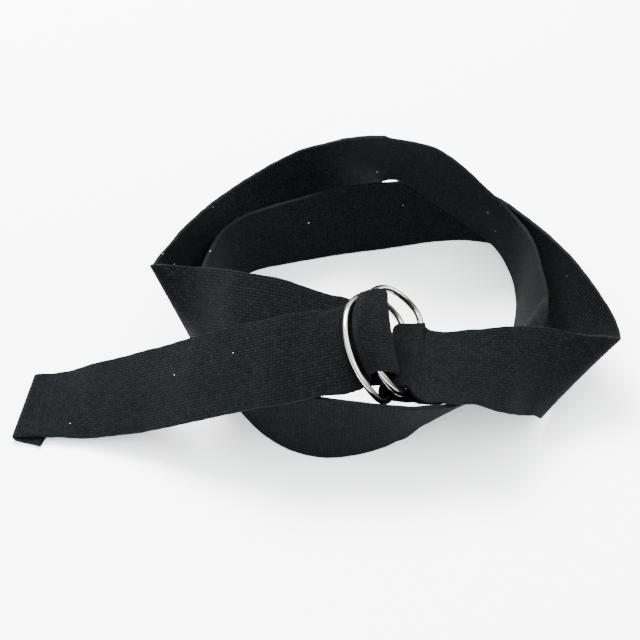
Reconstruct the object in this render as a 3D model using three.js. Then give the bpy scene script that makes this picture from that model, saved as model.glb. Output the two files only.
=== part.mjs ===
// Double ring belt: one long webbing strap, sewn round the straight bars of two
// D-shaped rings and fastened through both, lying in a loose coil with its tail
// out to the left. Millimetres, +Z up, floor at z = 0, the rings' side at -Y.
import * as THREE from 'three';

// Named sizes.
const size = {
  width: 38,          // webbing, across
  thick: 1.8,         // webbing, through
  bevel: 0.5,         // softened selvedge
  layer: 2.2,         // middle of one layer to the middle of the next when they touch
  wire: 3.0,          // ring wire, through
  ringHalf: 25.2,     // half a ring's length along its bar, to the wire's middle
  ringDeep: 34.5,     // bar to the top of the bow, middle to middle
  ringCorner: 8.0,    // corner radius between bar and bow
  eyeRoom: 1.5,       // slack between the front ring's bar and the eye
  hem: 15,            // turned-under end of the tail
  tip: 6.5,           // last place of the tail to its fold
  reach: 100,         // the coil's middle to its right side; the places below are shares of it
  step: 5,            // longest stretch of strap between two cross sections
  shiftX: 19.9,       // from the coil's middle to the middle of the whole belt
  shiftY: -1.35,
};
const deg = Math.PI / 180;
const vec = (x, y, z) => new THREE.Vector3(x, y, z);

// A direction from its turn in plan (0 = +X, 90 = +Y) and its tilt above the floor.
function pointing(turn, tilt) {
  const flat = Math.cos(tilt * deg);
  return vec(flat * Math.cos(turn * deg), flat * Math.sin(turn * deg), Math.sin(tilt * deg));
}

// Both rings stand leaning left: their bars point away along `along`, the bows up along `out`.
// A ring is placed by the middle of its bar.
const along = pointing(80, 1);
const leaning = vec(-0.6, 0.105, 0.793);
const out = leaning.clone().addScaledVector(along, -leaning.dot(along)).normalize();
const facing = new THREE.Vector3().crossVectors(along, out).normalize();
const frontBar = vec(0.135 * size.reach, -0.45 * size.reach, 0.745 * size.width);
const betweenBars = vec(2.45, 1.03, 0.55).multiplyScalar(size.wire);
const rings = { front_ring: frontBar, back_ring: frontBar.clone().add(betweenBars) };

// Route of the strap's middle line, from behind the rings round to the tail.
// x, y: shares of size.reach. foot: height of the lower long edge, share of size.width.
// turn, tilt: where the line from the lower to the upper edge points, in degrees.
const columns = ['x', 'y', 'foot', 'turn', 'tilt', 'arch'];
const coil = [
  // right of the rings, over the coil's rim and round the right bend
  [0.255, -0.473, 0.785, 88, 2],
  [0.335, -0.520, 0.86, 88, 3],
  [0.447, -0.562, 0.915, 85, 10],
  [0.580, -0.550, 0.74, 82, 23],
  [0.740, -0.470, 0.44, 71, 31],
  [0.908, -0.424, 0.23, 33, 33],
  [0.965, -0.235, 0.03, 3, 47],
  // first turn, standing on the floor: right, back, left, front
  [0.902, 0.090, 0.01, 3, 72],
  [0.862, 0.210, 0.00, 10, 78],
  [0.808, 0.360, 0.00, 20, 89],
  [0.755, 0.500, 0.00, 220, 79],
  [0.655, 0.675, 0.00, 235, 71],
  [0.500, 0.745, 0.00, 260, 80],
  [0.360, 0.760, 0.00, 270, 88],
  [0.080, 0.715, 0.00, 95, 86],
  [-0.120, 0.675, 0.00, 105, 86],
  [-0.325, 0.600, 0.00, 290, 88],
  [-0.515, 0.525, 0.00, 300, 83],
  [-0.605, 0.455, 0.00, 315, 84],
  [-0.665, 0.345, 0.00, 330, 87],
  [-0.690, 0.215, 0.00, 160, 89],
  [-0.715, 0.060, 0.00, 175, 88],
  [-0.690, -0.110, 0.00, 190, 88],
  [-0.630, -0.270, 0.00, 205, 88],
  [-0.540, -0.430, 0.00, 220, 88],
  [-0.440, -0.565, 0.00, 235, 88],
  [-0.316, -0.670, 0.00, 250, 87],
  [-0.185, -0.720, 0.00, 262, 85],
  [-0.076, -0.725, 0.00, 272, 82],
  [0.050, -0.715, 0.00, 283, 73],
  [0.180, -0.680, 0.00, 295, 63],
  [0.320, -0.600, 0.00, 303, 53],
  // second turn: under the strap by the rings, up the right side, over the first turn's rim
  [0.490, -0.450, 0.00, 318, 44],
  [0.625, -0.210, 0.00, 340, 46],
  [0.712, -0.070, 0.00, 352, 65],
  [0.733, 0.120, 0.00, 0, 77],
  [0.735, 0.300, 0.00, 8, 84],
  [0.690, 0.487, 0.02, 212, 85],
  [0.600, 0.590, 0.22, 232, 70],
  [0.490, 0.619, 0.465, 262, 70],
  [0.350, 0.619, 0.78, 268, 70],
  [0.260, 0.619, 0.945, 270, 66],
  [0.170, 0.631, 1.07, 272, 61.5],
  [0.090, 0.644, 1.05, 274, 61.5],
  [0.000, 0.705, 0.89, 276, 65],
  [-0.130, 0.735, 0.64, 280, 78],
  [-0.290, 0.735, 0.47, 100, 89],
  [-0.520, 0.610, 0.32, 130, 89],
  [-0.720, 0.335, 0.32, 150, 86],
  [-0.795, 0.150, 0.32, 163, 78],
  [-0.830, -0.015, 0.36, 168, 66],
  // left bend, then right again over the rim to the rings
  [-0.820, -0.135, 0.52, 133, 46],
  [-0.700, -0.210, 0.74, 97, 30],
  [-0.545, -0.340, 0.985, 92, 29],
  [-0.350, -0.410, 1.03, 92, 29],
  [-0.210, -0.430, 0.935, 94, 28],
  [-0.100, -0.440, 0.90, 95, 25],
];
// Through both rings, over the back ring's bow and under the front ring's. ring: the one
// measured from; slide, high, off: from the middle of its bow along the strap's width,
// toward the bow's top and out of the ring's plane, as shares of size.ringHalf; lean: the
// angle between the strap's width and the bar; arch: rise of the strap's middle over its
// edges, toward the bow's top, share of size.width.
const loopColumns = ['ring', 'slide', 'high', 'off', 'lean', 'arch'];
const loop = [
  ['front_ring', 0.05, 0.300, 0.00, 23, 0.04],
  ['back_ring', -0.02, 0.420, 0.00, 25, 0.04],
  ['back_ring', 0.00, 0.500, 0.13, 28, 0.04],
  ['back_ring', 0.00, 0.660, 0.21, 29, 0.05],
  ['back_ring', -0.02, 0.860, 0.21, 29, 0.08],
  ['back_ring', -0.04, 1.100, 0.13, 29, 0.13],
  ['back_ring', -0.05, 1.185, 0.03, 28, 0.16],
  ['back_ring', -0.06, 1.110, -0.12, 26, 0.18],
  ['front_ring', 0.01, 0.765, -0.01, 24, 0.18],
];
// The tail, under the front ring's bow and down to the floor on the left.
const tail = [
  [-0.125, -0.540, 1.06, 95, 18, 0.06],
  [-0.205, -0.566, 1.04, 93, 21, 0.02],
  [-0.350, -0.598, 0.95, 90, 27],
  [-0.490, -0.575, 0.79, 87, 28],
  [-0.686, -0.545, 0.56, 86, 28],
  [-0.896, -0.495, 0.29, 87, 24],
  [-1.130, -0.450, 0.10, 90, 15],
  [-1.310, -0.425, 0.060, 90, 3],
  [-1.395, -0.420, 0.060, 88, 0],
];

// The bow's radius and how far its centre sits above the bar.
const straight = size.ringHalf - size.ringCorner;
const bow = (straight ** 2 + (size.ringCorner - size.ringDeep) ** 2 - size.ringCorner ** 2)
  / (2 * (size.ringDeep - 2 * size.ringCorner));
const bowCentre = size.ringDeep - bow;

const named = (names, row) => Object.fromEntries(names.map((name, i) => [name, row[i] ?? 0]));

// One row of the tables as a place of the middle line and the direction across the strap.
function place(row) {
  const r = named(columns, row);
  const across = pointing(r.turn, r.tilt);
  const half = size.width / 2 * Math.sin(r.tilt * deg) + size.thick / 2 * Math.cos(r.tilt * deg);
  const at = vec(r.x * size.reach, r.y * size.reach, r.foot * size.width + half);
  return { at, across, drop: vec(0, 0, -r.arch * size.width) };
}
function placeInRing(row) {
  const r = named(loopColumns, row);
  const across = along.clone().multiplyScalar(Math.cos(r.lean * deg))
    .addScaledVector(out, Math.sin(r.lean * deg));
  const top = new THREE.Vector3().crossVectors(facing, across);
  const at = rings[r.ring].clone().addScaledVector(out, bowCentre)
    .addScaledVector(across, r.slide * size.ringHalf)
    .addScaledVector(top, r.high * size.ringHalf)
    .addScaledVector(facing, r.off * size.ringHalf);
  return { at, across, drop: top.multiplyScalar(-r.arch * size.width) };
}

// Rows bent round a line along `across` through `mid`, from one angle to another.
function bendRound(mid, right, up, across, radius, from, to, count) {
  return Array.from({ length: count + 1 }, (_, i) => {
    const a = (from + (to - from) * i / count) * deg;
    const at = mid.clone().addScaledVector(right, radius * Math.cos(a))
      .addScaledVector(up, radius * Math.sin(a));
    return { at, across: across.clone() };
  });
}

// The sewn eye: the strap's first end lies under it, goes below both bars, round the
// front ring's bar and back over the top. right, up: from that bar's middle, and near: how
// far the row sits toward the bars' near ends, all as shares of size.wire. tilt: of the
// line across the strap, in degrees.
const eyeColumns = ['right', 'up', 'near', 'tilt'];
const eyeUnder = [
  [5.35, 0.12, 0.15, 1],
  [4.30, -0.10, -0.10, 1],
  [3.50, -0.35, -0.35, 1],
  [2.67, -0.63, -0.50, 1],
  [1.67, -0.97, -0.70, 1],
  [0.50, -1.10, -0.80, 1],
];
const eyeOver = [
  [1.33, 1.70, -0.75, 2],
  [2.40, 1.88, -0.80, 2],
];
function eye() {
  const right = vec(along.y, -along.x, 0).normalize();
  const up = new THREE.Vector3().crossVectors(right, along).normalize();
  const from = (r, u, near) => frontBar.clone().addScaledVector(right, r * size.wire)
    .addScaledVector(up, u * size.wire).addScaledVector(along, -near * size.wire);
  const spot = row => {
    const r = named(eyeColumns, row);
    return { at: from(r.right, r.up, r.near), across: pointing(80, r.tilt) };
  };
  const radius = size.wire / 2 + size.thick / 2 + size.eyeRoom;
  const bend = bendRound(from(-0.2, 0.27, -0.7), right, up, pointing(80, 2), radius, 245, 90, 6);
  return [...eyeUnder.map(spot), ...bend, ...eyeOver.map(spot)];
}

// The hem: the tail's end turned under along a slightly slanting fold.
function hem() {
  const top = place(tail[tail.length - 1]);
  const slant = 5;    // degrees, of the fold
  const askew = 17;   // degrees, of the layer under it
  const across = pointing(90 - slant, 0);
  const mid = vec(top.at.x - size.tip, top.at.y, size.thick / 2 + size.layer / 2);
  const rows = bendRound(mid, vec(-1, 0, 0), vec(0, 0, 1), across, size.layer / 2, 90, -90, 6);
  const back = pointing(-askew, 0);
  const under = pointing(90 - askew, 0);
  for (const share of [0.25, 0.5, 0.75, 1]) {
    const at = vec(mid.x, mid.y, size.thick / 2).addScaledVector(back, size.hem * share);
    rows.push({ at, across: under.clone() });
  }
  return rows;
}

// Smooth places between the rows, no farther apart than size.step.
function smooth(rows) {
  const line = new THREE.CatmullRomCurve3(rows.map(r => r.at), false, 'centripetal');
  const flat = vec(0, 0, 0);
  const last = rows.at(-1);
  const places = [];
  rows.slice(0, -1).forEach((row, i) => {
    const next = rows[i + 1];
    const count = Math.max(1, Math.ceil(row.at.distanceTo(next.at) / size.step));
    for (let j = 0; j < count; j++) {
      const s = j / count;
      const ease = s * s * (3 - 2 * s);
      const across = row.across.clone().lerp(next.across, ease);
      const drop = (row.drop ?? flat).clone().lerp(next.drop ?? flat, ease);
      places.push({ t: (i + s) / (rows.length - 1), across, drop });
    }
  });
  places.push({ t: 1, across: last.across, drop: last.drop ?? flat });
  return places.map(({ t, across, drop }) => {
    const at = line.getPoint(t);
    const ahead = line.getTangent(t);
    const wide = across.clone().normalize();
    const through = new THREE.Vector3().crossVectors(ahead, wide);
    // A slanting section is longer, so that the strap keeps its width.
    wide.multiplyScalar(1 / Math.max(through.length(), 0.85));
    return { at, wide, through: through.normalize(), drop };
  });
}

// A closed solid from cross sections of equal point count.
function skin(sections, closed) {
  const n = sections[0].length;
  const m = sections.length;
  const points = sections.flat();
  const faces = [];
  for (let i = 0; i < (closed ? m : m - 1); i++) {
    for (let j = 0; j < n; j++) {
      const k = (j + 1) % n;
      const next = (i + 1) % m * n;
      faces.push(i * n + j, i * n + k, next + k, i * n + j, next + k, next + j);
    }
  }
  if (!closed) {
    for (let j = 1; j < n - 1; j++) {
      const end = (m - 1) * n;
      faces.push(0, j + 1, j, end, end + j, end + j + 1);
    }
  }
  const body = new THREE.BufferGeometry();
  body.setAttribute('position', new THREE.Float32BufferAttribute(points.flatMap(p => [p.x, p.y, p.z]), 3));
  body.setIndex(faces);
  body.computeVertexNormals();
  return body;
}

function strapBody() {
  const rows = [...eye(), ...coil.map(place), ...loop.map(placeInRing), ...tail.map(place), ...hem()];
  const h = size.width / 2;
  const t = size.thick / 2;
  const flank = t - size.bevel;
  const steps = [-1, -0.35, 0.35, 1].map(share => share * (h - size.bevel));
  const under = steps.map(w => [w, -t]);
  const over = steps.toReversed().map(w => [w, t]);
  const outline = [...under, [h, -flank], [h, flank], ...over, [-h, flank], [-h, -flank]];
  return skin(smooth(rows).map(p => {
    // An arched section is narrower from edge to edge, and none sinks into the floor.
    const narrow = 1 - 0.6 * (p.drop.length() / h) ** 2;
    const section = outline.map(([w, q]) => p.at.clone().addScaledVector(p.wide, w * narrow)
      .addScaledVector(p.through, q).addScaledVector(p.drop, (w / h) ** 2));
    const sunk = Math.min(0, ...section.map(point => point.z));
    return section.map(point => point.setZ(point.z - sunk));
  }), false);
}

// A D ring: straight bar, two rounded corners, one bow over the top.
function ringBody(middle) {
  const corner = size.ringCorner;
  const meet = Math.atan2(corner - bowCentre, straight);   // where a corner runs into the bow
  const path = [];
  const arc = (x, y, r, from, to, count) => {
    for (let i = 0; i < count; i++) {
      const s = from + (to - from) * i / count;
      path.push([x + r * Math.cos(s), y + r * Math.sin(s)]);
    }
  };
  arc(straight, corner, corner, -Math.PI / 2, meet, 7);
  arc(0, bowCentre, bow, meet, Math.PI - meet, 26);
  arc(-straight, corner, corner, Math.PI - meet, 1.5 * Math.PI, 7);
  path.push([-straight, 0]);
  const n = path.length;
  const sections = path.map(([x, y], i) => {
    const [px, py] = path[(i + n - 1) % n], [qx, qy] = path[(i + 1) % n];
    const ahead = along.clone().multiplyScalar(qx - px).addScaledVector(out, qy - py).normalize();
    const side = new THREE.Vector3().crossVectors(ahead, facing).normalize();
    const at = middle.clone().addScaledVector(along, x).addScaledVector(out, y);
    return Array.from({ length: 12 }, (_, k) => {
      const s = k / 12 * 2 * Math.PI;
      return at.clone().addScaledVector(side, size.wire / 2 * Math.cos(s))
        .addScaledVector(facing, -size.wire / 2 * Math.sin(s));
    });
  });
  return skin(sections, true);
}

const cloth = new THREE.MeshStandardMaterial({ color: 0x24272b, roughness: 0.95, metalness: 0 });
const steel = new THREE.MeshStandardMaterial({ color: 0xc4c3bf, roughness: 0.22, metalness: 1 });

function part(name, geometry, material) {
  const mesh = new THREE.Mesh(geometry.translate(size.shiftX, size.shiftY, 0), material);
  mesh.name = name;
  return mesh;
}

const belt = new THREE.Group();
belt.name = 'double_ring_belt';
belt.add(part('strap', strapBody(), cloth));
belt.add(part('front_ring', ringBody(rings.front_ring), steel));
belt.add(part('back_ring', ringBody(rings.back_ring), steel));
export default belt;
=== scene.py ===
# %% [markdown]
# # Double ring belt
# A dark cotton webbing belt lies in a loose coil on a pale floor. Its strap is sewn
# round the straight bars of two D-shaped rings and fastened through both. This notebook
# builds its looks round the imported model: the strap and its weave, the rings, the
# stitches, a little lint, then the floor, light and camera.

# %% Load the frame
import math

import bpy
import numpy as np
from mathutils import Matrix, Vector


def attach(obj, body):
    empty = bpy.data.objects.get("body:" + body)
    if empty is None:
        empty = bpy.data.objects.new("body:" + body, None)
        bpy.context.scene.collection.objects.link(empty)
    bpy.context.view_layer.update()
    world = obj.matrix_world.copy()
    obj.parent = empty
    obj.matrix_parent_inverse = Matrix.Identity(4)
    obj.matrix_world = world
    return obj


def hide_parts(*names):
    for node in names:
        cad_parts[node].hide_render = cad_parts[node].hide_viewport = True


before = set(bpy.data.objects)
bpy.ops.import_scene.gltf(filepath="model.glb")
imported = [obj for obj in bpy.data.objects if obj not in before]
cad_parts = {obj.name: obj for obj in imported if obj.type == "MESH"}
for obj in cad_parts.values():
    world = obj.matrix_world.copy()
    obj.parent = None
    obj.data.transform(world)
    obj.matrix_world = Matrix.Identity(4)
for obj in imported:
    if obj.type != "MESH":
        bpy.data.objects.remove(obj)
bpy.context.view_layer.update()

# %% [markdown]
# ## Sizes and the strap's route
# The named sizes are in millimetres and the tables hold shares of them, the same ones
# that the solid strap was made from. One row is one place of the strap: where its
# middle line passes and which way the line across it points.

# %% Named sizes
WIDTH, THICK, BEVEL, LAYER = 38, 1.8, 0.5, 2.2    # webbing, and two layers of it
WIRE, RING_HALF, RING_DEEP, RING_CORNER = 3.0, 25.2, 34.5, 8.0
EYE_ROOM = 1.5                               # slack round the front ring's bar
HEM, TIP = 15, 6.5                           # turned-under end, and the fold beyond the tail
SLANT, ASKEW = 5, 17                         # degrees: the hem's fold line, and its under layer
REACH = 100                                 # the coil's middle to its right side
SHIFT = np.array([19.9, -1.35, 0.0])        # from the coil's middle to the frame's
MM = 0.001

# Columns: x, y (shares of REACH), foot (lower edge's height, share of WIDTH),
# turn, tilt (the direction across the strap, degrees), arch (share of WIDTH).
COIL = [
    # right of the rings, over the coil's rim and round the right bend
    (0.255, -0.473, 0.785, 88, 2),
    (0.335, -0.520, 0.86, 88, 3),
    (0.447, -0.562, 0.915, 85, 10),
    (0.580, -0.550, 0.74, 82, 23),
    (0.740, -0.470, 0.44, 71, 31),
    (0.908, -0.424, 0.23, 33, 33),
    (0.965, -0.235, 0.03, 3, 47),
    # first turn, standing on the floor: right, back, left, front
    (0.902, 0.090, 0.01, 3, 72),
    (0.862, 0.210, 0.00, 10, 78),
    (0.808, 0.360, 0.00, 20, 89),
    (0.755, 0.500, 0.00, 220, 79),
    (0.655, 0.675, 0.00, 235, 71),
    (0.500, 0.745, 0.00, 260, 80),
    (0.360, 0.760, 0.00, 270, 88),
    (0.080, 0.715, 0.00, 95, 86),
    (-0.120, 0.675, 0.00, 105, 86),
    (-0.325, 0.600, 0.00, 290, 88),
    (-0.515, 0.525, 0.00, 300, 83),
    (-0.605, 0.455, 0.00, 315, 84),
    (-0.665, 0.345, 0.00, 330, 87),
    (-0.690, 0.215, 0.00, 160, 89),
    (-0.715, 0.060, 0.00, 175, 88),
    (-0.690, -0.110, 0.00, 190, 88),
    (-0.630, -0.270, 0.00, 205, 88),
    (-0.540, -0.430, 0.00, 220, 88),
    (-0.440, -0.565, 0.00, 235, 88),
    (-0.316, -0.670, 0.00, 250, 87),
    (-0.185, -0.720, 0.00, 262, 85),
    (-0.076, -0.725, 0.00, 272, 82),
    (0.050, -0.715, 0.00, 283, 73),
    (0.180, -0.680, 0.00, 295, 63),
    (0.320, -0.600, 0.00, 303, 53),
    # second turn: under the strap by the rings, up the right side, over the first turn's rim
    (0.490, -0.450, 0.00, 318, 44),
    (0.625, -0.210, 0.00, 340, 46),
    (0.712, -0.070, 0.00, 352, 65),
    (0.733, 0.120, 0.00, 0, 77),
    (0.735, 0.300, 0.00, 8, 84),
    (0.690, 0.487, 0.02, 212, 85),
    (0.600, 0.590, 0.22, 232, 70),
    (0.490, 0.619, 0.465, 262, 70),
    (0.350, 0.619, 0.78, 268, 70),
    (0.260, 0.619, 0.945, 270, 66),
    (0.170, 0.631, 1.07, 272, 61.5),
    (0.090, 0.644, 1.05, 274, 61.5),
    (0.000, 0.705, 0.89, 276, 65),
    (-0.130, 0.735, 0.64, 280, 78),
    (-0.290, 0.735, 0.47, 100, 89),
    (-0.520, 0.610, 0.32, 130, 89),
    (-0.720, 0.335, 0.32, 150, 86),
    (-0.795, 0.150, 0.32, 163, 78),
    (-0.830, -0.015, 0.36, 168, 66),
    # left bend, then right again over the rim to the rings
    (-0.820, -0.135, 0.52, 133, 46),
    (-0.700, -0.210, 0.74, 97, 30),
    (-0.545, -0.340, 0.985, 92, 29),
    (-0.350, -0.410, 1.03, 92, 29),
    (-0.210, -0.430, 0.935, 94, 28),
    (-0.100, -0.440, 0.90, 95, 25),
]
# Columns: ring, slide, high, off (shares of RING_HALF from the middle of that ring's
# bow), lean (degrees), arch (share of WIDTH).
LOOP = [
    ("front_ring", 0.05, 0.300, 0.00, 23, 0.04),
    ("back_ring", -0.02, 0.420, 0.00, 25, 0.04),
    ("back_ring", 0.00, 0.500, 0.13, 28, 0.04),
    ("back_ring", 0.00, 0.660, 0.21, 29, 0.05),
    ("back_ring", -0.02, 0.860, 0.21, 29, 0.08),
    ("back_ring", -0.04, 1.100, 0.13, 29, 0.13),
    ("back_ring", -0.05, 1.185, 0.03, 28, 0.16),
    ("back_ring", -0.06, 1.110, -0.12, 26, 0.18),
    ("front_ring", 0.01, 0.765, -0.01, 24, 0.18),
]
TAIL = [
    (-0.125, -0.540, 1.06, 95, 18, 0.06),
    (-0.205, -0.566, 1.04, 93, 21, 0.02),
    (-0.350, -0.598, 0.95, 90, 27),
    (-0.490, -0.575, 0.79, 87, 28),
    (-0.686, -0.545, 0.56, 86, 28),
    (-0.896, -0.495, 0.29, 87, 24),
    (-1.130, -0.450, 0.10, 90, 15),
    (-1.310, -0.425, 0.060, 90, 3),
    (-1.395, -0.420, 0.060, 88, 0),
]
# Columns: right, up, near (shares of WIRE from the front ring's bar), tilt (degrees).
EYE_UNDER = [
    (5.35, 0.12, 0.15, 1),
    (4.30, -0.10, -0.10, 1),
    (3.50, -0.35, -0.35, 1),
    (2.67, -0.63, -0.50, 1),
    (1.67, -0.97, -0.70, 1),
    (0.50, -1.10, -0.80, 1),
]
EYE_OVER = [
    (1.33, 1.70, -0.75, 2),
    (2.40, 1.88, -0.80, 2),
]
print("rows:", len(COIL), len(LOOP), len(TAIL), len(EYE_UNDER), len(EYE_OVER))

# %% [markdown]
# ## From rows to places
# Every row becomes a point, a direction across and a droop of the two edges. The rings
# share one leaning frame, so the loop through them is measured from their bows.

# %% Directions and rings
def unit(v):
    return v / np.linalg.norm(v)


def pointing(turn, tilt):
    turn, tilt = math.radians(turn), math.radians(tilt)
    return np.array([math.cos(tilt) * math.cos(turn), math.cos(tilt) * math.sin(turn), math.sin(tilt)])


ALONG = pointing(80, 1)                         # along the bars, away from the viewer
leaning = np.array([-0.6, 0.105, 0.793])
OUT = unit(leaning - ALONG * leaning.dot(ALONG))    # from a bar to the top of its bow
FACING = unit(np.cross(ALONG, OUT))
FRONT_BAR = np.array([0.135 * REACH, -0.45 * REACH, 0.745 * WIDTH])
BETWEEN_BARS = np.array([2.45, 1.03, 0.55]) * WIRE
BARS = {"front_ring": FRONT_BAR, "back_ring": FRONT_BAR + BETWEEN_BARS}
STRAIGHT = RING_HALF - RING_CORNER
BOW = (STRAIGHT ** 2 + (RING_CORNER - RING_DEEP) ** 2 - RING_CORNER ** 2) / (
    2 * (RING_DEEP - 2 * RING_CORNER))
BOW_CENTRE = RING_DEEP - BOW
FLAT = np.zeros(3)
print(f"bow radius {BOW:.1f} mm, its centre {BOW_CENTRE:.1f} mm above the bar")


# %% Rows to places
def place(row):
    x, y, foot, turn, tilt, arch = (*row, 0.0)[:6]
    rise = foot * WIDTH + WIDTH / 2 * math.sin(math.radians(tilt)) + THICK / 2 * math.cos(math.radians(tilt))
    return np.array([x * REACH, y * REACH, rise]), pointing(turn, tilt), np.array([0, 0, -arch * WIDTH])


def place_in_ring(row):
    ring, slide, high, off, lean, arch = row
    across = ALONG * math.cos(math.radians(lean)) + OUT * math.sin(math.radians(lean))
    top = np.cross(FACING, across)
    at = BARS[ring] + OUT * BOW_CENTRE + (across * slide + top * high + FACING * off) * RING_HALF
    return at, across, -top * arch * WIDTH


def bend_round(mid, right, up, across, radius, start, end, count):
    turns = np.radians(np.linspace(start, end, count + 1))
    return [(mid + right * radius * math.cos(a) + up * radius * math.sin(a), across, FLAT) for a in turns]


def eye():
    right = unit(np.array([ALONG[1], -ALONG[0], 0.0]))
    up = unit(np.cross(right, ALONG))
    spot = lambda r, u, near: FRONT_BAR + (right * r + up * u - ALONG * near) * WIRE
    rows = lambda table: [(spot(*row[:3]), pointing(80, row[3]), FLAT) for row in table]
    radius = WIRE / 2 + THICK / 2 + EYE_ROOM
    bend = bend_round(spot(-0.2, 0.27, -0.7), right, up, pointing(80, 2), radius, 245, 90, 6)
    return rows(EYE_UNDER) + bend + rows(EYE_OVER)


def hem():
    tip = place(TAIL[-1])[0]
    mid = np.array([tip[0] - TIP, tip[1], THICK / 2 + LAYER / 2])
    left, up = np.array([-1.0, 0, 0]), np.array([0, 0, 1.0])
    rows = bend_round(mid, left, up, pointing(90 - SLANT, 0), LAYER / 2, 90, -90, 6)
    start = np.array([mid[0], mid[1], THICK / 2])
    along, across = pointing(-ASKEW, 0) * HEM, pointing(90 - ASKEW, 0)
    return rows + [(start + along * share, across, FLAT) for share in (0.25, 0.5, 0.75, 1)]


rows = [*eye(), *map(place, COIL), *map(place_in_ring, LOOP), *map(place, TAIL), *hem()]
print("places along the strap:", len(rows))


# %% [markdown]
# ## One smooth line
# A centripetal curve runs through the places. The line and the directions across are then
# averaged a little along the strap, as cloth would even out its own bends, except at the
# rings, the tail, the hem, the left bend and where two layers pass close to one another.

# %% Smooth the route
def curve_point(points, i, w):
    """Point at share w of the stretch from points[i] to points[i + 1]."""
    last = len(points) - 1
    a, b = points[i], points[i + 1]
    before = points[i - 1] if i else 2 * a - b
    after = points[i + 2] if i + 2 <= last else 2 * b - a
    d0, d1, d2 = (math.sqrt(np.linalg.norm(q - p)) for p, q in ((before, a), (a, b), (b, after)))
    t1 = ((a - before) / d0 - (b - before) / (d0 + d1) + (b - a) / d1) * d1
    t2 = ((b - a) / d1 - (after - a) / (d1 + d2) + (after - b) / d2) * d1
    return a + t1 * w + (-3 * a + 3 * b - 2 * t1 - t2) * w ** 2 + (2 * a - 2 * b + t1 + t2) * w ** 3


def sample(rows, step):
    points = [r[0] for r in rows]
    at, across, drop, free = [], [], [], []
    first, last = len(eye()) + 1, len(rows) - len(hem()) - 3
    loop = range(len(eye()) + len(COIL) - 3, len(eye()) + len(COIL) + len(LOOP) + 2)
    # as modelled: where layers pass close to one another, and the left bend
    close = [len(eye()) + k for k in (0, 1, 2, 3, 30, 31, 32, 33, *range(48, len(COIL)))]
    close += range(len(rows) - len(hem()) - len(TAIL), len(rows))
    for i in range(len(rows) - 1):
        count = max(1, math.ceil(np.linalg.norm(points[i + 1] - points[i]) / step))
        for w in np.arange(count) / count:
            ease = w * w * (3 - 2 * w)
            at.append(curve_point(points, i, w))
            across.append(rows[i][1] * (1 - ease) + rows[i + 1][1] * ease)
            drop.append(rows[i][2] * (1 - ease) + rows[i + 1][2] * ease)
            free.append(0.0 if i < first or i > last or i in loop or i in close else 1.0)
    for values, end in ((at, points[-1]), (across, rows[-1][1]), (drop, rows[-1][2]), (free, 0.0)):
        values.append(end)
    return (np.array(v) for v in (at, across, drop, free))


def blurred(values, reach):
    kernel = np.exp(-0.5 * (np.arange(-3 * reach, 3 * reach + 1) / reach) ** 2)
    kernel /= kernel.sum()
    flat = values.reshape(len(values), -1)
    padded = np.pad(flat, ((3 * reach, 3 * reach), (0, 0)), "edge")
    columns = [np.convolve(padded[:, k], kernel, "valid") for k in range(flat.shape[1])]
    return np.stack(columns, 1).reshape(values.shape)


STEP = 0.75       # mm between sections
at, across, drop, free = sample(rows, STEP)
across /= np.linalg.norm(across, axis=1)[:, None]
even = blurred(free, 8)[:, None] ** 2
at = at * (1 - even) + blurred(at, 6) * even
across = across * (1 - even) + blurred(across, 9) * even
ahead = np.gradient(at, axis=0)
ahead /= np.linalg.norm(ahead, axis=1)[:, None]
across /= np.linalg.norm(across, axis=1)[:, None]
through = np.cross(ahead, across)
size_through = np.linalg.norm(through, axis=1)
through /= size_through[:, None]
wide = across / np.maximum(size_through, 0.85)[:, None]
length = np.concatenate([[0.0], np.cumsum(np.linalg.norm(np.diff(at, axis=0), axis=1))])
print(f"strap length {length[-1]:.0f} mm in {len(at)} sections")

# %% [markdown]
# ## The strap
# Its section is a flat band with rounded selvedges, a touch fuller at each edge where
# the weft turns back. The UV map holds millimetres: U along the strap and V across it,
# so that the weave keeps its scale in every bend.

# %% Strap mesh
HALF, T = WIDTH / 2, THICK / 2
LIP, LIP_IN = 0.05, 1.3                      # how much fuller, and how far in from the edge
PICK, PICK_ACROSS = 1.5, 1.3                 # mm from one turn of the weft to the next, and across
NOTCH = 0.25                                 # depth of the selvedge's waves
steps = np.concatenate([[-1.0], np.linspace(-0.965, 0.965, 17), [1.0]]) * (HALF - BEVEL)
lip = lambda w: LIP * math.exp(-((HALF - LIP_IN - abs(w)) / 0.6) ** 2)
side = [(HALF - BEVEL * 0.35, T - BEVEL * 0.12), (HALF - 0.04, T - BEVEL * 0.75), (HALF, 0.0)]
outline = [(w, -T + LIP - lip(w)) for w in steps]
outline += [(w, -q) for w, q in side] + [(w, q) for w, q in side[-2::-1]]
outline += [(w, T - LIP + lip(w)) for w in steps[::-1]]
outline += [(-w, q) for w, q in side] + [(-w, -q) for w, q in side[-2::-1]]
outline = np.array(outline)
narrow = 1 - 0.6 * (np.linalg.norm(drop, axis=1) / HALF) ** 2
picks = NOTCH * np.abs(np.sin(math.pi * length / PICK))
picks = picks + 0.12 * np.sin(length * 0.61) * np.sin(length * 0.23)
edge_share = np.clip((np.abs(outline[:, 0]) - (HALF - 1.5)) / 1.5, 0, 1)
reach_out = outline[:, 0] + np.sign(outline[:, 0]) * (picks[:, None] - NOTCH) * edge_share
rings_of = (at[:, None] + wide[:, None] * (reach_out * narrow[:, None])[..., None]
            + through[:, None] * outline[None, :, 1:] + drop[:, None] * ((outline[None, :, :1] / HALF) ** 2))
sunk = np.minimum(0, rings_of[..., 2].min(1))
rings_of[..., 2] -= sunk[:, None]
count, around = rings_of.shape[:2]


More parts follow.
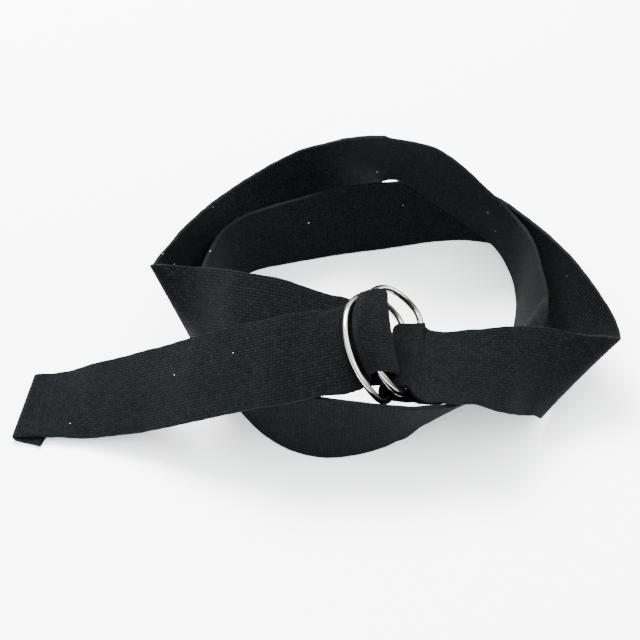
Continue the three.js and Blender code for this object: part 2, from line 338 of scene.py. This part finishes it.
def mesh_object(name, vertices, faces, smooth=True):
    mesh = bpy.data.meshes.new(name)
    mesh.from_pydata([tuple(v) for v in vertices], [], faces)
    mesh.polygons.foreach_set("use_smooth", [smooth] * len(mesh.polygons))
    mesh.update()
    obj = bpy.data.objects.new(name, mesh)
    bpy.context.scene.collection.objects.link(obj)
    return obj


faces = []
for i in range(count - 1):
    for j in range(around):
        k = (j + 1) % around
        faces.append((i * around + j, i * around + k, (i + 1) * around + k, (i + 1) * around + j))
faces.append(tuple(range(around - 1, -1, -1)))
faces.append(tuple((count - 1) * around + j for j in range(around)))
strap = mesh_object("webbing_strap", (rings_of.reshape(-1, 3) + SHIFT) * MM, faces)
uv = strap.data.uv_layers.new(name="strap_mm")
loops = np.zeros(len(strap.data.loops), dtype=int)
strap.data.loops.foreach_get("vertex_index", loops)
uv_values = np.stack([length[loops // around], outline[loops % around, 0]], 1)
uv.data.foreach_set("uv", uv_values.astype(np.float32).ravel())
print("strap faces:", len(strap.data.polygons))

# %% [markdown]
# ## The rings
# Each ring is one closed round wire: a straight bar, two rounded corners and a bow.

# %% Ring meshes
def ring_path():
    meet = math.atan2(RING_CORNER - BOW_CENTRE, STRAIGHT)      # where a corner runs into the bow
    turns = lambda a, b, n: np.linspace(a, b, n, endpoint=False)
    arc = lambda x, y, r, angles: [(x + r * math.cos(a), y + r * math.sin(a)) for a in angles]
    path = arc(STRAIGHT, RING_CORNER, RING_CORNER, turns(-math.pi / 2, meet, 26))
    path += arc(0, BOW_CENTRE, BOW, turns(meet, math.pi - meet, 110))
    path += arc(-STRAIGHT, RING_CORNER, RING_CORNER, turns(math.pi - meet, 1.5 * math.pi, 26))
    path += [(x, 0.0) for x in np.linspace(-STRAIGHT, STRAIGHT, 24, endpoint=False)]
    return np.array(path)


def make_ring(name, middle, sides=28):
    path = ring_path()
    n = len(path)
    tangent = np.roll(path, -1, 0) - np.roll(path, 1, 0)
    tangent /= np.linalg.norm(tangent, axis=1)[:, None]
    vertices = []
    for (x, y), (tx, ty) in zip(path, tangent):
        outward = ALONG * ty - OUT * tx
        centre = middle + ALONG * x + OUT * y
        for a in np.linspace(0, 2 * math.pi, sides, endpoint=False):
            vertices.append(centre + outward * WIRE / 2 * math.cos(a) + FACING * WIRE / 2 * math.sin(a))
    spot = lambda i, j: i % n * sides + j % sides
    faces = [(spot(i, j), spot(i + 1, j), spot(i + 1, j + 1), spot(i, j + 1))
             for i in range(n) for j in range(sides)]
    return mesh_object(name, (np.array(vertices) + SHIFT) * MM, faces)


front_ring = make_ring("front_ring_wire", BARS["front_ring"])
back_ring = make_ring("back_ring_wire", BARS["back_ring"])
print("ring faces:", len(front_ring.data.polygons), len(back_ring.data.polygons))

# %% [markdown]
# ## Materials
# Small helpers first: colours are given as they look on a screen and turned into the
# linear values that shading uses, and one helper adds and links a node.

# %% Material helpers
def linear(text):
    parts = [int(text[i:i + 2], 16) / 255 for i in (1, 3, 5)]
    return [c / 12.92 if c <= 0.04045 else ((c + 0.055) / 1.055) ** 2.4 for c in parts] + [1.0]


def add(tree, kind, inputs=None, **settings):
    """A new node. inputs maps a socket's name or number to a value or to another node's output."""
    node = tree.nodes.new(kind)
    for key, value in settings.items():
        setattr(node, key, value)
    for key, value in (inputs or {}).items():
        if isinstance(value, bpy.types.NodeSocket):
            tree.links.new(value, node.inputs[key])
        else:
            node.inputs[key].default_value = value
    return node


def maths(tree, operation, a, b=0.0, third=0.0, clamp=False):
    node = add(tree, "ShaderNodeMath", {0: a, 1: b, 2: third}, operation=operation, use_clamp=clamp)
    return node.outputs[0]


def new_material(name):
    material = bpy.data.materials.new(name)
    material.use_nodes = True
    material.node_tree.nodes.clear()
    tree = material.node_tree
    shader = add(tree, "ShaderNodeBsdfPrincipled")
    output = add(tree, "ShaderNodeOutputMaterial")
    tree.links.new(shader.outputs["BSDF"], output.inputs["Surface"])
    return material, tree, shader


# %% [markdown]
# ### Webbing
# Plain-woven black cotton: thick yarns pass over and under one another, so the surface
# is a fine checker of small humps, each a little lighter or darker than the next. The
# real yarns look about 0.9 mm apart. Here a hump is 1.5 by 1.3 mm, as fine as the render
# can show. Slow noise fades the dye, and the selvedges get a painted highlight: a lighter
# tone that stands in for the light the edges catch.

# %% Webbing material
webbing, tree, shader = new_material("cotton_webbing")
uv_map = add(tree, "ShaderNodeUVMap", uv_map="strap_mm").outputs["UV"]
wander = add(tree, "ShaderNodeTexNoise", {"Vector": uv_map, "Scale": 0.28, "Detail": 2.0},
             noise_dimensions="2D").outputs["Color"]
drift = add(tree, "ShaderNodeVectorMath", {0: wander, 1: (0.9, 0.9, 0.0)}, operation="MULTIPLY").outputs[0]
yarns_at = add(tree, "ShaderNodeVectorMath", {0: uv_map, 1: drift}, operation="ADD").outputs[0]
cell_at = add(tree, "ShaderNodeVectorMath", {0: yarns_at, 1: (PICK, PICK_ACROSS, 1.0)},
              operation="DIVIDE").outputs[0]
split = add(tree, "ShaderNodeSeparateXYZ", {0: cell_at})
wave_u = maths(tree, "SINE", maths(tree, "MULTIPLY", split.outputs["X"], math.pi))
wave_v = maths(tree, "SINE", maths(tree, "MULTIPLY", split.outputs["Y"], math.pi))
checker = maths(tree, "MULTIPLY_ADD", maths(tree, "MULTIPLY", wave_u, wave_v), 0.5, third=0.5)
hump = maths(tree, "MULTIPLY", maths(tree, "ABSOLUTE", wave_u), maths(tree, "ABSOLUTE", wave_v))
whole = add(tree, "ShaderNodeVectorMath", {0: cell_at}, operation="FLOOR").outputs[0]
chance = add(tree, "ShaderNodeTexWhiteNoise", {"Vector": whole}, noise_dimensions="2D").outputs["Value"]
fibre = add(tree, "ShaderNodeTexNoise", {"Vector": uv_map, "Scale": 2.4, "Detail": 5.0, "Roughness": 0.75},
            noise_dimensions="2D").outputs["Fac"]
weave = maths(tree, "ADD", maths(tree, "MULTIPLY", hump, 0.7), maths(tree, "MULTIPLY", checker, 0.3))
height = maths(tree, "ADD", weave, maths(tree, "MULTIPLY", fibre, 0.8))

fade = add(tree, "ShaderNodeTexNoise", {"Vector": uv_map, "Scale": 0.025, "Detail": 2.0},
           noise_dimensions="2D").outputs["Fac"]
tone = maths(tree, "MULTIPLY", weave, 0.45)
for share, value in ((0.6, chance), (0.9, fibre), (0.5, fade)):
    tone = maths(tree, "MULTIPLY_ADD", maths(tree, "SUBTRACT", value, 0.5), share, third=tone)
# Painted highlight: within 1 mm of each selvedge the yarn colour is mixed toward a lighter grey, standing in
# for the light that the edges catch.
side_of = add(tree, "ShaderNodeSeparateXYZ", {0: uv_map}).outputs["Y"]
beyond = maths(tree, "SUBTRACT", maths(tree, "ABSOLUTE", side_of), HALF - 1.0)
edge = maths(tree, "DIVIDE", beyond, 1.0, clamp=True)
yarn_colour = add(tree, "ShaderNodeMix", {0: tone, 6: linear("#000101"), 7: linear("#0a0d0f")},
                  data_type="RGBA").outputs[2]
edge_highlight_share = maths(tree, "MULTIPLY", edge, 0.4)
colour_with_edge_highlight = add(tree, "ShaderNodeMix", {0: edge_highlight_share, 6: yarn_colour, 7: linear("#101316")}, data_type="RGBA").outputs[2]
tree.links.new(colour_with_edge_highlight, shader.inputs["Base Color"])
matt = add(tree, "ShaderNodeMapRange", {0: weave, 3: 0.95, 4: 0.8}).outputs[0]
tree.links.new(matt, shader.inputs["Roughness"])
shader.inputs["Specular IOR Level"].default_value = 0.05
shader.inputs["Sheen Weight"].default_value = 0.01
shader.inputs["Sheen Roughness"].default_value = 0.5
shader.inputs["Sheen Tint"].default_value = linear("#c3d2e0")
bump = add(tree, "ShaderNodeBump", {"Strength": 0.9, "Distance": 0.0005, "Height": height})
tree.links.new(bump.outputs[0], shader.inputs["Normal"])
strap.data.materials.append(webbing)
print("webbing nodes:", len(tree.nodes))

# %% [markdown]
# ### Nickel plate
# Plated wire with faint handling marks: fine noise varies the gloss, and slow noise
# darkens it a little in patches.

# %% Ring material
nickel, tree, shader = new_material("nickel_plate")
place_of = add(tree, "ShaderNodeTexCoord").outputs["Object"]
marks = add(tree, "ShaderNodeTexNoise", {"Vector": place_of, "Scale": 900.0, "Detail": 4.0,
                                         "Roughness": 0.7}).outputs["Fac"]
cloud = add(tree, "ShaderNodeTexNoise", {"Vector": place_of, "Scale": 120.0, "Detail": 2.0}).outputs["Fac"]
metal = add(tree, "ShaderNodeMix", {0: cloud, 6: linear("#8d887f"), 7: linear("#b9b4ab")},
            data_type="RGBA").outputs[2]
tree.links.new(metal, shader.inputs["Base Color"])
gloss = add(tree, "ShaderNodeMapRange", {0: marks, 1: 0.35, 2: 0.75, 3: 0.10, 4: 0.24}).outputs[0]
tree.links.new(gloss, shader.inputs["Roughness"])
shader.inputs["Metallic"].default_value = 1.0
bump = add(tree, "ShaderNodeBump", {"Strength": 0.12, "Distance": 0.0001, "Height": marks})
tree.links.new(bump.outputs[0], shader.inputs["Normal"])
for ring in (front_ring, back_ring):
    ring.data.materials.append(nickel)
print("nickel nodes:", len(tree.nodes))

# %% Thread and lint materials
thread, tree, shader = new_material("sewing_thread")
place_of = add(tree, "ShaderNodeTexCoord").outputs["Object"]
twist = add(tree, "ShaderNodeTexNoise", {"Vector": place_of, "Scale": 2500.0, "Detail": 2.0}).outputs["Fac"]
black = add(tree, "ShaderNodeMix", {0: twist, 6: linear("#020303"), 7: linear("#0c0f11")}, data_type="RGBA")
tree.links.new(black.outputs[2], shader.inputs["Base Color"])
shader.inputs["Roughness"].default_value = 0.9
shader.inputs["Specular IOR Level"].default_value = 0.08
fluff, tree, shader = new_material("lint_fluff")
place_of = add(tree, "ShaderNodeTexCoord").outputs["Object"]
clump = add(tree, "ShaderNodeTexNoise", {"Vector": place_of, "Scale": 3000.0}).outputs["Fac"]
pale = add(tree, "ShaderNodeMix", {0: clump, 6: linear("#a7abb0"), 7: linear("#f2f3f4")}, data_type="RGBA")
tree.links.new(pale.outputs[2], shader.inputs["Base Color"])
shader.inputs["Roughness"].default_value = 0.95
print("thread and lint ready")

# %% [markdown]
# ## Stitches and lint
# Both repeat one small shape many times, so Geometry Nodes place them: stitches at marked
# points along their seams, lint at random points over the cloth with a fixed seed.

# %% Geometry Nodes groups
def new_group(name, inputs):
    group = bpy.data.node_groups.new(name, "GeometryNodeTree")
    group.interface.new_socket("Geometry", in_out="INPUT", socket_type="NodeSocketGeometry")
    for label, kind, value in inputs:
        socket = group.interface.new_socket(label, in_out="INPUT", socket_type=kind)
        if value is not None:
            socket.default_value = value
    group.interface.new_socket("Geometry", in_out="OUTPUT", socket_type="NodeSocketGeometry")
    return group, group.nodes.new("NodeGroupInput"), group.nodes.new("NodeGroupOutput")


def finish_group(group, instances, material_socket, output):
    solid = add(group, "GeometryNodeRealizeInstances", {0: instances})
    painted = add(group, "GeometryNodeSetMaterial", {0: solid.outputs[0], "Material": material_socket})
    group.links.new(painted.outputs[0], output.inputs[0])


def run_group(obj, group, values):
    """Runs the group on obj, keeps the result as plain mesh and removes the modifier."""
    modifier = obj.modifiers.new(group.name, "NODES")
    modifier.node_group = group
    names = {item.name: item.identifier for item in group.interface.items_tree if item.in_out == "INPUT"}
    for label, value in values.items():
        modifier[names[label]] = value
    baked = bpy.data.meshes.new_from_object(obj.evaluated_get(bpy.context.evaluated_depsgraph_get()))
    obj.modifiers.remove(modifier)
    obj.data = baked
    return obj


stitch_group, source, output = new_group("stitches", [
    ("Stitch Length", "NodeSocketFloat", 0.0026), ("Thread Radius", "NodeSocketFloat", 0.00022),
    ("Thread", "NodeSocketMaterial", None)])
run_of, face_of = (add(stitch_group, "GeometryNodeInputNamedAttribute", {"Name": name},
                       data_type="FLOAT_VECTOR").outputs[0] for name in ("run", "face"))
turn_x = add(stitch_group, "FunctionNodeAlignRotationToVector", {"Vector": run_of}, axis="X").outputs[0]
turn_z = add(stitch_group, "FunctionNodeAlignRotationToVector", {"Rotation": turn_x, "Vector": face_of},
             axis="Z", pivot_axis="X").outputs[0]
bead = add(stitch_group, "GeometryNodeMeshUVSphere", {"Segments": 8, "Rings": 6, "Radius": 0.5}).outputs[0]
thread_width = maths(stitch_group, "MULTIPLY", source.outputs["Thread Radius"], 2.4)
thread_height = maths(stitch_group, "MULTIPLY", source.outputs["Thread Radius"], 1.8)
scale = add(stitch_group, "ShaderNodeCombineXYZ", {0: source.outputs["Stitch Length"], 1: thread_width,
                                                   2: thread_height}).outputs[0]
points = add(stitch_group, "GeometryNodeMeshToPoints", {0: source.outputs[0]}).outputs[0]
instances = add(stitch_group, "GeometryNodeInstanceOnPoints",
                {"Points": points, "Instance": bead, "Rotation": turn_z, "Scale": scale}).outputs[0]
finish_group(stitch_group, instances, source.outputs["Thread"], output)

lint_group, source, output = new_group("lint", [
    ("Density", "NodeSocketFloat", 400.0), ("Speck Radius", "NodeSocketFloat", 0.0002),
    ("Seed", "NodeSocketInt", 7), ("Fluff", "NodeSocketMaterial", None)])
density, radius, seed = (source.outputs[k] for k in ("Density", "Speck Radius", "Seed"))
spread = add(lint_group, "GeometryNodeDistributePointsOnFaces",
             {"Mesh": source.outputs[0], "Density": density, "Seed": seed})
speck = add(lint_group, "GeometryNodeMeshIcoSphere", {"Radius": radius, "Subdivisions": 1}).outputs[0]
grow = add(lint_group, "FunctionNodeRandomValue", {2: 0.45, 3: 1.5, "Seed": seed},
           data_type="FLOAT").outputs[1]
flat_speck = add(lint_group, "ShaderNodeCombineXYZ",
                 {0: grow, 1: maths(lint_group, "MULTIPLY", grow, 0.7), 2: 0.45}).outputs[0]
instances = add(lint_group, "GeometryNodeInstanceOnPoints",
                {"Points": spread.outputs["Points"], "Instance": speck,
                 "Rotation": spread.outputs["Rotation"], "Scale": flat_speck}).outputs[0]
finish_group(lint_group, instances, source.outputs["Fluff"], output)
print("groups:", stitch_group.name, lint_group.name)


# %% [markdown]
# ### Seams
# Two rows of stitches cross the strap where the sewn end lies under it, and two more
# hold the hem at the tail's tip. Points along them carry the way the stitch runs and
# the way the cloth faces.

# %% Stitch points
def seam_points(distance, side, inset=2.4, pitch=3.1):
    """Points across the strap at a distance along it; side is 1 or -1, the face they lie on."""
    i = int(np.searchsorted(length, distance))
    count = int((WIDTH - 2 * inset) / pitch)
    offsets = (np.arange(count) + 0.5 - count / 2) * pitch
    face = through[i] * side
    return [(at[i] + wide[i] * w + face * (T + 0.02), wide[i], face) for w in offsets]


eye_end = length[int(np.argmin(np.linalg.norm(at - rows[len(eye()) - 1][0], axis=1)))]
hem_start = length[int(np.argmin(np.linalg.norm(at - rows[-len(hem())][0], axis=1)))]
marks = []
for distance in (eye_end + 6, eye_end + 9.5):
    marks += seam_points(distance, 1)
for distance in (hem_start - 10, hem_start - 7):
    marks += seam_points(distance, -1)
stitches = mesh_object("stitches", (np.array([m[0] for m in marks]) + SHIFT) * MM, [])
for name, column in (("run", 1), ("face", 2)):
    layer = stitches.data.attributes.new(name, "FLOAT_VECTOR", "POINT")
    layer.data.foreach_set("vector", np.array([m[column] for m in marks], dtype=np.float32).ravel())
run_group(stitches, stitch_group, {"Stitch Length": 0.0026, "Thread Radius": 0.00022, "Thread": thread})
strap_faces = [tuple(p.vertices) for p in strap.data.polygons]
lint = mesh_object("lint", [v.co for v in strap.data.vertices], strap_faces)
run_group(lint, lint_group, {"Density": 420.0, "Speck Radius": 0.0002, "Seed": 11, "Fluff": fluff})
print("stitches:", len(marks), "| lint faces:", len(lint.data.polygons))

# %% [markdown]
# ## Riding and replacing
# Nothing on the belt moves by itself, so every piece rides on the root, and the plain
# solids are replaced by the pieces above.

# %% Ride and replace
pieces = ((strap, ["strap"], "strap"), (front_ring, ["front_ring"], "ring"),
          (back_ring, ["back_ring"], "ring"), (stitches, [], "strap"), (lint, [], "strap"))
for piece, nodes, slot in pieces:
    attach(piece, "root")
    if nodes:
        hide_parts(*nodes)

# %% [markdown]
# ## Floor, light and camera
# A plain white floor that glows faintly, so that it looks nearly as white as the
# photograph's, one large soft light high behind the belt, so that its shadows fall toward
# the viewer, and a weak one in front. The sky is bright overhead and dim at the horizon,
# which gives the rings their dark lines. The camera looks down at 42 degrees.

# %% Floor and light
floor = mesh_object("floor", [(-6, -6, 0), (6, -6, 0), (6, 6, 0), (-6, 6, 0)], [(0, 1, 2, 3)], smooth=False)
floor.location.z = -0.0002
paper, tree, shader = new_material("white_paper")
shader.inputs["Base Color"].default_value = linear("#f8f8f8")
shader.inputs["Roughness"].default_value = 0.9
shader.inputs["Emission Color"].default_value = linear("#fbfcfd")
shader.inputs["Emission Strength"].default_value = 0.4
floor.data.materials.append(paper)


def soft_light(name, at, size, power):
    """A round white light at a place, in metres, that faces the belt."""
    data = bpy.data.lights.new(name, "AREA")
    data.shape, data.size, data.energy = "DISK", size, power
    lamp = bpy.data.objects.new(name, data)
    bpy.context.scene.collection.objects.link(lamp)
    lamp.location = at
    lamp.rotation_euler = (-Vector(at)).to_track_quat("-Z", "Y").to_euler()


soft_light("key", (-0.35, 0.75, 1.25), 0.9, 125.0)
soft_light("front_fill", (0.5, -1.4, 1.2), 1.4, 14.0)
world = bpy.data.worlds.new("studio")
bpy.context.scene.world = world
world.use_nodes = True
sky = world.node_tree
sky.nodes.clear()
up = add(sky, "ShaderNodeSeparateXYZ", {0: add(sky, "ShaderNodeTexCoord").outputs["Generated"]}).outputs["Z"]
glow = add(sky, "ShaderNodeMapRange", {0: up, 1: 0.12, 2: 0.80, 3: 0.3, 4: 6.2}).outputs[0]
shine = add(sky, "ShaderNodeBackground", {"Color": linear("#f4f7fb"), "Strength": glow})
sky.links.new(shine.outputs[0], add(sky, "ShaderNodeOutputWorld").inputs[0])

# %% Camera
ELEVATION, DISTANCE = math.radians(42), 0.680    # distance in metres
PIXELS, PER_MM, SENSOR = 640, 2.2, 36.0          # the picture's side, its scale, the sensor in mm
MIDDLE_X, MIDDLE_Y = 365, 345                    # the coil's middle in the picture, in pixels
lens = bpy.data.cameras.new("camera")
lens.sensor_width = SENSOR
lens.lens = PER_MM * DISTANCE * 1000 / PIXELS * SENSOR
lens.shift_x, lens.shift_y = -(MIDDLE_X - PIXELS / 2) / PIXELS, (MIDDLE_Y - PIXELS / 2) / PIXELS
lens.clip_start = 0.05
camera = bpy.data.objects.new("camera", lens)
bpy.context.scene.collection.objects.link(camera)
target = Vector(SHIFT * MM)
camera.location = target + DISTANCE * Vector((0, -math.cos(ELEVATION), math.sin(ELEVATION)))
camera.rotation_euler = (target - camera.location).to_track_quat("-Z", "Y").to_euler()
bpy.context.scene.camera = camera
print(f"camera lens {lens.lens:.1f} mm")
